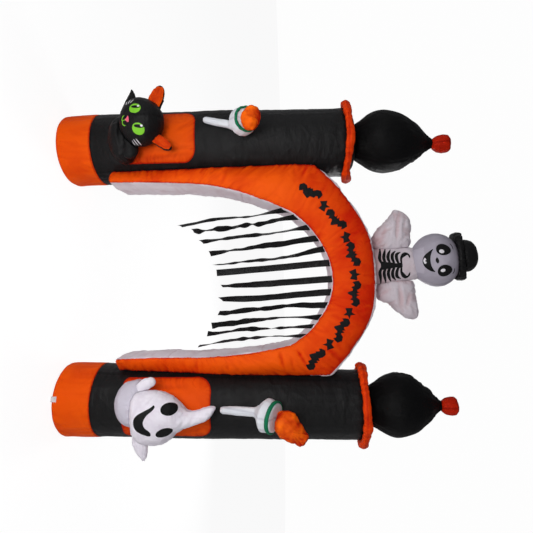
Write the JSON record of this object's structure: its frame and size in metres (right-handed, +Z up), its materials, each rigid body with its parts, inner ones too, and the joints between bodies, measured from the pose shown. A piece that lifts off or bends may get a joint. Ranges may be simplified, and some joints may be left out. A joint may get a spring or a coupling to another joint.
{
  "type": "inflatable arch",
  "caption": "Air-filled yard arch: turreted columns, a walk-through arch hung with ribbons, and soft autumn figures.",
  "frame": {"origin": "centre of the bounding box in X and Y, on the floor under the columns", "axes": "+Z up, +X to the right as seen by someone who stands in front and faces the arch, +Y from the front to the back"},
  "size_m": [2.2957, 0.7514, 2.724],
  "materials": {
    "orange_cloth": "satin woven nylon",
    "black_cloth": "satin woven nylon",
    "white_cloth": "satin woven nylon, a little see-through",
    "ember_cloth": "satin woven nylon",
    "green_cloth": "satin woven nylon",
    "flame_cloth": "satin woven nylon",
    "webbing": "folded tape"
  },
  "bodies": {
    "root": {"arch_body": "white_cloth", "arch_front": "orange_cloth", "base_left": "orange_cloth", "base_right": "orange_cloth", "bulb_left": "black_cloth", "bulb_right": "black_cloth", "cat_body": "black_cloth", "cat_ear_left": "black_cloth", "cat_ear_left_lining": "orange_cloth", "cat_ear_right": "black_cloth", "cat_ear_right_lining": "orange_cloth", "cat_head": "black_cloth", "cat_paw_left": "black_cloth", "cat_paw_right": "black_cloth", "collar_left": "ember_cloth", "collar_right": "ember_cloth", "ghost_arm_left": "white_cloth", "ghost_arm_right": "white_cloth", "ghost_body": "white_cloth", "ghost_head": "white_cloth", "ground_tab": "webbing", "hat_brim": "black_cloth", "hat_crown": "black_cloth", "knob_left": "ember_cloth", "knob_right": "ember_cloth", "shaft_left": "black_cloth", "shaft_right": "black_cloth", "skeleton_arm_left": "white_cloth", "skeleton_arm_right": "white_cloth", "skeleton_head": "white_cloth", "skeleton_torso": "white_cloth", "streamer_01": "black_cloth", "streamer_02": "black_cloth", "streamer_03": "black_cloth", "streamer_04": "black_cloth", "streamer_05": "black_cloth", "streamer_06": "black_cloth", "streamer_07": "black_cloth", "streamer_08": "black_cloth", "streamer_09": "black_cloth", "streamer_10": "black_cloth", "streamer_11": "black_cloth", "streamer_12": "black_cloth", "torch_left_band": "green_cloth", "torch_left_flame": "flame_cloth", "torch_left_holder": "white_cloth", "torch_right_band": "green_cloth", "torch_right_flame": "flame_cloth", "torch_right_holder": "white_cloth", "window_left": "orange_cloth", "window_right": "orange_cloth"}
  },
  "joints": []
}
